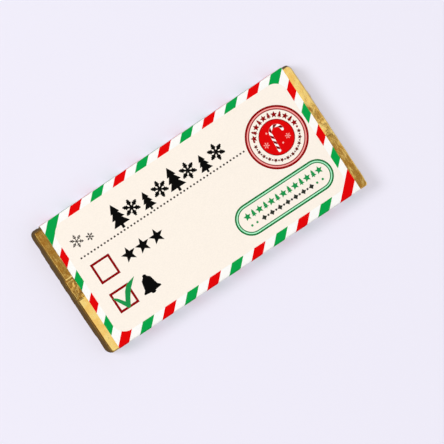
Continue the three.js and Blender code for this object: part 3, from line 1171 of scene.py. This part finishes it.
# %% Upper part of the stamp's band
UPPER_START, UPPER_PITCH, UPPER_PLACES = 151, 14.4, 11  # degrees, clockwise
STARS_AT, TREES_FROM = 7.05, 6.1  # from the stamp's middle


def on_band(radius, degrees):
    """A place on the stamp's band, by its distance from the middle and its direction."""
    turn = math.radians(degrees)
    return su + radius * math.cos(turn), sv + radius * math.sin(turn)


def turned_round(outline, degrees):
    """An outline drawn at the middle's top, carried round the band to a direction."""
    cos, sin = math.cos(math.radians(degrees - 90)), math.sin(math.radians(degrees - 90))
    spun = []
    for u, v in outline:
        du, dv = u - su, v - sv
        spun.append((su + du * cos - dv * sin, sv + du * sin + dv * cos))
    return spun


upright_tree = mirrored(FIR_TREE, su, sv + TREES_FROM, 2.1)
for step in range(UPPER_PLACES):
    degrees = UPPER_START - UPPER_PITCH * step
    if step % 2 == 0:
        ink("dark red", star(*on_band(STARS_AT, degrees), 1.1, waist=0.48, turn=math.radians(degrees)))
    else:
        ink("dark red", turned_round(upright_tree, degrees))
print("outlines so far:", len(print_layers))

# %% [markdown]
# Smaller stars and dots run round the lower part, the other way round, and a larger dot
# on either side parts the two rows. Both rows could share one loop, but their sizes and
# pitches differ so much that two short loops are easier to read.

# %% Lower part of the stamp's band
LOWER_START, LOWER_PITCH, LOWER_PLACES = 172, 7.8, 23  # degrees, anticlockwise
LOWER_AT = 7.15  # from the stamp's middle
PARTING_DOTS, PARTING_AT = (-5, 159), 7.1  # degrees, and from the middle

for step in range(LOWER_PLACES):
    degrees = LOWER_START + LOWER_PITCH * step
    spot = on_band(LOWER_AT, degrees)
    if step % 2 == 0:
        ink("brown", star(*spot, 0.72, waist=0.5, turn=math.radians(degrees)))
    else:
        ink("brown", disc(*spot, 0.28, 10))
for degrees in PARTING_DOTS:
    ink("dark red", disc(*on_band(PARTING_AT, degrees), 0.34, 14))
print("outlines so far:", len(print_layers))

# %% [markdown]
# A candy cane with two snowflakes stands in the stamp's red middle. Its outline could be
# drawn by hand, but a ribbon along a straight stem and a round hook has the same width
# everywhere.

# %% The cane's stem and hook
STAMP_FIELD = (("dark red", 5.68), ("stamp red", 5.42))
STEM_FOOT, STEM_TOP = (-1.47, -3.95), (-1.10, 1.55)  # from the stamp's middle
STEM_STEPS, HOOK_STEPS = 48, 50
HOOK_RADIUS = 1.98
HOOK_TURN = math.radians(183)
CANE_WIDTH = 0.92

for name, radius in STAMP_FIELD:
    ink(name, disc(su, sv, radius, 60))
stem_foot, stem_top = np.array(STAMP_MIDDLE) + STEM_FOOT, np.array(STAMP_MIDDLE) + STEM_TOP
stem = stem_top - stem_foot
stem_heading = math.atan2(stem[1], stem[0])
hook_middle = stem_top + HOOK_RADIUS * np.array([math.sin(stem_heading), -math.cos(stem_heading)])
cane_path = [stem_foot + stem * step / STEM_STEPS for step in range(STEM_STEPS)]
for step in range(HOOK_STEPS):
    turn = stem_heading + quarter - step / (HOOK_STEPS - 1) * HOOK_TURN
    cane_path.append(hook_middle + HOOK_RADIUS * np.array([math.cos(turn), math.sin(turn)]))
cane = ribbon(cane_path, [CANE_WIDTH] * len(cane_path))
ink("white", cane)
print("points along the cane:", len(cane_path))

# %% [markdown]
# The cane's bands could be drawn one by one too. Cut at a slant out of the same ribbon,
# they fit its edges by themselves. Each slice is pink with a deep red core, because such
# small areas of one strong red would spread over the white.

# %% The cane's bands and round ends
BAND_PITCH, BAND_LENGTH, BAND_SLANT = 16, 10, 8  # in steps along the cane
CORE_SHARE = 0.88

right_edge, left_edge = np.array(cane[:len(cane_path)]), np.array(cane[len(cane_path):][::-1])
for start in range(0, len(cane_path) - BAND_PITCH, BAND_PITCH):
    right_part = right_edge[start:start + BAND_LENGTH]
    left_part = left_edge[start + BAND_SLANT:start + BAND_SLANT + BAND_LENGTH]
    slanted_slice = np.array([*right_part, *left_part[::-1]])
    slice_middle = slanted_slice.mean(axis=0)
    ink("pink", slanted_slice)
    ink("deep red", slice_middle + (slanted_slice - slice_middle) * CORE_SHARE)
for end in (cane_path[0], cane_path[-1]):
    ink("white", disc(*end, CANE_WIDTH / 2, 16))
ink("pale pink", *snowflake(su - 4.05, sv - 0.44, 1.0, 0.10))
ink("pale pink", *snowflake(su + 3.15, sv - 1.47, 0.95, 0.10))
for du, dv in ((-2.1, 2.68), (0.75, -2.48)):
    ink("pale pink", disc(su + du, sv + dv, 0.30, 12))
print("outlines so far:", len(print_layers))

# %% [markdown]
# The long stamp is a pill with a strong outer line and a thin inner one. Lines could be
# ribbons along its edge, but it is printed from the outside in, like the round one. Two
# rows of ornaments fill it: stars and fir trees above, small diamonds and dots below.

# %% Long stamp
PILL = (6.09, -16.6, 40.8, -6.36)
PILL_LINES = (("deep green", 0.0), ("pale green", 0.52), ("deep green", 0.9), ("cream", 1.22))
STRAIGHT_PART = 0.001  # of the pill's ends, so that its round corners don't touch
PLACES_IN_ROW = 13
UPPER_ROW, LOWER_ROW = (10.6, 2.2, -10.25), (14.9, 1.45, -13.25)  # first place, pitch, height
LOWER_ROW_ENDS = (10.4, 12.3, 34.45, 36.5)

pill_left, pill_low, pill_right, pill_high = PILL
for name, inset in PILL_LINES:
    half_height = (pill_high - pill_low) / 2 - inset
    pill = (pill_left + inset, pill_low + inset, pill_right - inset, pill_high - inset)
    ink(name, rounded_box(*pill, half_height - STRAIGHT_PART, 16))

first_place, pitch, row = UPPER_ROW
for step in range(PLACES_IN_ROW):
    place = first_place + pitch * step
    tree = mirrored(FIR_TREE, place, row - 1.1, 2.5)
    ink("tick green", star(place, row, 1.32, waist=0.48) if step % 2 == 0 else tree)
first_place, pitch, row = LOWER_ROW
for step in range(PLACES_IN_ROW):
    place = first_place + pitch * step
    diamond = star(place, row, 0.95, tips=4, waist=0.6)
    ink("charcoal", diamond if step % 2 == 0 else disc(place, row, 0.36, 12))
for place in LOWER_ROW_ENDS:
    ink("tick green", disc(place, row, 0.38, 14))
print("outlines on the front:", len(print_layers))

# %% [markdown]
# The back can't be seen in the picture. It could stay bare, but such sleeves carry a
# quiet version of the front there, so a row of snowflakes and stars in a thin frame is
# printed on it.

# %% Back of the sleeve
BACK_MIDDLE = 14.0  # from the far fold
# Half the frame's length and height and its corner radius, outside and inside its line
BACK_FRAME = (("dark red", 26.0, 6.0, 3.0), ("cream", 25.6, 5.6, 2.6))
FIRST_ON_BACK, BACK_PITCH, PLACES_ON_BACK = -21.0, 7.0, 7

back_middle = back_far + BACK_MIDDLE
for name, half_u, half_v, corner in BACK_FRAME:
    ink(name, rounded_box(-half_u, back_middle - half_v, half_u, back_middle + half_v, corner))
for step in range(PLACES_ON_BACK):
    place = FIRST_ON_BACK + BACK_PITCH * step
    if step % 2 == 0:
        ink("green", *snowflake(place, back_middle, 2.8, 0.4))
    else:
        ink("red", star(place, back_middle, 2.0))
print("outlines in all:", len(print_layers))

# %% [markdown]
# ## From the flat print to a mesh
# A knife tool could cut the outlines into the strip one after another. There are
# hundreds, and a constrained triangulation cuts a plane along all of them in one go. It
# takes the outlines' points, the outlines themselves as faces, and single lines. Lines
# along the folds are added to them, because the paper has to bend there.

# %% Gather the outlines and the bend lines
FOLD_LINES = 7

flat_points = [point for _, outline in print_layers for point in outline]
flat_faces, first = [], 0
for _, outline in print_layers:
    flat_faces.append(list(range(first, first + len(outline))))
    first += len(outline)

bend_edges = []
fold_names = ("near lower fold", "near upper fold", "far upper fold", "far lower fold")
bend_lines = [leg_start["ramp"], leg_start["ramp"] + ramp_run]
for fold in fold_names:
    fold_end = leg_start[fold] + FOLD_RADIUS * quarter
    bend_lines += list(np.linspace(leg_start[fold], fold_end, FOLD_LINES))
for v in bend_lines:
    bend_edges.append((len(flat_points), len(flat_points) + 1))
    flat_points += [(-sheet_half, v), (sheet_half, v)]
print("points:", len(flat_points), "outlines:", len(flat_faces), "bend lines:", len(bend_edges))

# %% [markdown]
# Between the outlines the paper needs some points of its own, or it couldn't swell
# softly. They lie in a net. A net point that nearly touches an outline would make a
# sliver of a triangle, which shades as a faint line, so only points that keep clear of
# every line are used.

# %% A net of points between the outlines
NET_STEP = 1.6
NET_START, NET_END = (0.9, 0.8), (0.6, 0.5)  # distances from the strip's edges
NET_CLEARANCE = 0.15

line_starts = [point for _, outline in print_layers for point in outline]
line_ends = [point for _, outline in print_layers for point in outline[1:] + outline[:1]]
line_starts = np.array(line_starts + [(-sheet_half, v) for v in bend_lines])
line_sides = np.array(line_ends + [(sheet_half, v) for v in bend_lines]) - line_starts
side_squares = np.maximum((line_sides**2).sum(axis=1), 1e-12)


def is_clear(u, v):
    """Whether a point of the flat strip keeps its distance from every line on it."""
    away = np.array([u, v]) - line_starts
    share = np.clip((away * line_sides).sum(axis=1) / side_squares, 0, 1)
    return np.linalg.norm(away - share[:, None] * line_sides, axis=1).min() > NET_CLEARANCE


before_net = len(flat_points)
for u in np.arange(-sheet_half + NET_START[0], sheet_half - NET_END[0], NET_STEP):
    for v in np.arange(strip_low + NET_START[1], strip_high - NET_END[1], NET_STEP):
        if is_clear(u, v):
            flat_points.append((u, v))
print("net points:", len(flat_points) - before_net)

# %% [markdown]
# The triangulation also says which outlines each triangle lies in. The last one printed
# gives the triangle its ink, and a triangle outside the first outline, which is the
# sheet itself, is dropped.

# %% Cut the flat strip along every line
SHEET = 0  # number of the sheet's own outline
MERGE_DISTANCE = 1e-5

flat_vectors = [Vector(point) for point in flat_points]
cut = geometry.delaunay_2d_cdt(flat_vectors, bend_edges, flat_faces, 0, MERGE_DISTANCE, True)
cut_points = np.array([tuple(point) for point in cut[0]])
cut_triangles, cut_outlines = cut[2], cut[5]
on_sheet = [number for number, inside in enumerate(cut_outlines) if SHEET in inside]
triangles = np.array([cut_triangles[number] for number in on_sheet])
kept, renumbered = np.unique(triangles, return_inverse=True)  # drops the points off the sheet
cut_points, triangles = cut_points[kept], renumbered.reshape(-1, 3)
last_printed = [print_layers[max(cut_outlines[number])][0] for number in on_sheet]
ink_names = sorted({name for name, _ in print_layers})
triangle_inks = np.array([ink_names.index(name) for name in last_printed])
print("flat strip:", len(cut_points), "points,", len(triangles), "triangles, inks:", ink_names)

# %% [markdown]
# ## Folding the strip
# Each point of the flat strip looks up its place in the walk round the section. Bones or
# a bend modifier could fold it too, but the walk keeps every length exact. A real sleeve
# isn't quite flat, so the paper swells by a few hundredths of a millimetre here and
# there and stands off a little at its mouths.

# %% Where each point of the strip goes
SWELL = 0.014
CROSSED_WAVES = (0.21, 0.17)  # radians for each mm, along the bar and across it
SLANTED_WAVES = (0.47, 0.31)
MOUTH_STAND_OFF = 0.06
MOUTH_LENGTH = 3.0  # over which the stand-off grows
FOLD_FADE = 4.0  # the swelling dies out over this distance from a fold


def swollen(u, v):
    """How far the paper stands off, in mm, in soft waves 11 to 37 mm long."""
    crossed = np.sin(u * CROSSED_WAVES[0] + 0.4) * np.sin(v * CROSSED_WAVES[1] + 1.1)
    slanted = np.sin(u * SLANTED_WAVES[0] - v * SLANTED_WAVES[1] + 2.0)
    at_mouth = eased((np.abs(u) - sheet_half + MOUTH_LENGTH) / MOUTH_LENGTH)
    return SWELL * (crossed + 0.5 * slanted) + MOUTH_STAND_OFF * at_mouth


def folded(flat, depth):
    """Where points (u, v) of the flat strip lie on the sleeve, at a depth below the print."""
    u, v = flat.T
    y = np.interp(v, walk[:, 0], walk[:, 1])
    z = np.interp(v, walk[:, 0], walk[:, 2])
    going = np.interp(v, walk[:, 0], walk[:, 3])
    on_front = eased((half_width - np.abs(y)) / FOLD_FADE) * (z > sleeve_top / 2)
    outward = on_front * swollen(u, v) - depth
    return np.stack([u, y - np.sin(going) * outward, z + np.cos(going) * outward], axis=-1)


outside = folded(cut_points, 0.0)
print("folded strip, mm:", np.round(np.ptp(outside, axis=0), 2))

# %% [markdown]
# The inside of the paper lies one thickness further in, and strips of faces along the
# cut edges join it to the outside. A solidify modifier could add the thickness as well,
# but the walk places the inside as exactly as the outside, round the folds too.

# %% Close the sheet
inside = folded(cut_points, PAPER_THICKNESS)
count = len(cut_points)
edges = np.concatenate([triangles[:, [0, 1]], triangles[:, [1, 2]], triangles[:, [2, 0]]])
known = {(a, b) for a, b in edges.tolist()}
cut_edges = np.array([(a, b) for a, b in edges.tolist() if (b, a) not in known])
rim_starts, rim_ends = cut_edges.T
rim = np.stack([rim_starts, rim_starts + count, rim_ends + count, rim_ends], axis=-1)
sleeve_faces = triangles.tolist() + (triangles[:, ::-1] + count).tolist() + rim.tolist()
sleeve = add_mesh("paper_band", np.concatenate([outside, inside]) * MM, sleeve_faces)
print("sleeve:", len(sleeve.data.vertices), "points,", len(sleeve.data.polygons), "faces")

# %% [markdown]
# ## Paper and ink
# Each field of the print is one flat ink. Its colour is written as levels from 0 to 255,
# as colours are mixed on a screen, but a shader counts in shares of light. They could be
# worked out beforehand, but a list of such shares is hard to read.

# %% Colours of the inks
INK_SCREEN_COLOURS = {
    "white": (252, 253, 251),
    "cream": (252, 244, 233),
    "red": (227, 0, 2),
    "stamp red": (223, 2, 4),
    "dark red": (142, 2, 8),
    "deep red": (118, 0, 0),
    "pink": (248, 160, 156),
    "pale pink": (252, 176, 168),
    "green": (2, 163, 72),
    "tick green": (26, 149, 76),
    "deep green": (6, 116, 54),
    "pale green": (172, 242, 202),
    "black": (5, 5, 5),
    "charcoal": (44, 48, 42),
    "grey": (66, 60, 54),
    "brown": (104, 36, 32),
}


def linear(level):
    """A colour level from 0 to 255, as a share of light."""
    level = level / 255
    return level / 12.92 if level <= 0.04045 else ((level + 0.055) / 1.055) ** 2.4


cream_light = [round(linear(level), 3) for level in INK_SCREEN_COLOURS["cream"]]
print("inks:", len(INK_SCREEN_COLOURS), "and the cream in shares of light:", cream_light)

# %% [markdown]
# The sleeve is smooth matt paper. Its inks are thin and sink in, so every ink shares the
# paper's dull surface and its faint fibres, and differs in colour alone. One material
# with a painted picture could hold them all, but the fields are cut into the mesh
# already, so one function makes a material for each ink. The gloss of the paper is kept
# low, because a strong one would turn the black grey.

# %% Matt paper with ink on it
PAPER_SHARE = 0.90  # of the light comes back from white paper
FIBRE_SHADE = 0.965  # how much of its light a fibre's shaded side keeps
FIBRE_SCALE, FIBRE_DETAIL = 2400.0, 3.0
FIBRE_LEVELS = (0.3, 0.7)  # of the noise, between which the shade deepens
FIBRE_HEIGHT, FIBRE_STRENGTH = 0.03, 0.25
PAPER_ROUGHNESS, PAPER_GLOSS = 0.62, 0.06


def printed_paper(name, screen_colour):
    """Matt paper with one ink all over it."""
    material, tree, shader = new_material("paper_" + name.replace(" ", "_"))
    full = [PAPER_SHARE * linear(level) for level in screen_colour]
    # painted shade: the colour is a little darker where the fibres' shaded sides would be
    fibre_shaded = [FIBRE_SHADE * share for share in full]
    place = add_node(tree, "ShaderNodeTexCoord").outputs["Object"]
    fibres = noise(tree, place, FIBRE_SCALE, FIBRE_DETAIL)
    tone = blended(tree, smooth_step(tree, fibres, *FIBRE_LEVELS), [*full, 1.0], [*fibre_shaded, 1.0])
    tree.links.new(tone, shader.inputs["Base Color"])
    add_bump(tree, shader, fibres, FIBRE_STRENGTH, FIBRE_HEIGHT)
    shader.inputs["Roughness"].default_value = PAPER_ROUGHNESS
    shader.inputs["Specular IOR Level"].default_value = PAPER_GLOSS
    return material


for name in ink_names:
    sleeve.data.materials.append(printed_paper(name, INK_SCREEN_COLOURS[name]))
plain = np.full(len(sleeve_faces) - len(triangles), ink_names.index("white"))
sleeve.data.polygons.foreach_set("material_index", np.concatenate([triangle_inks, plain]))
print("inks on the sleeve:", len(sleeve.data.materials))

# %% [markdown]
# The folds are round, but the paper's cut edges are square. Smooth shading alone would
# blur them, and flat shading would show every step of the folds. So all is smooth except
# where two faces meet at a sharp angle.

# %% Smooth folds, crisp edges
CRISP_FROM = 40  # degrees between two faces

sleeve.data.shade_smooth()
sleeve.data.set_sharp_from_angle(angle=math.radians(CRISP_FROM))
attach(sleeve, "root")
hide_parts("paper_sleeve")
print("sleeve finished, smooth up to", CRISP_FROM, "degrees")
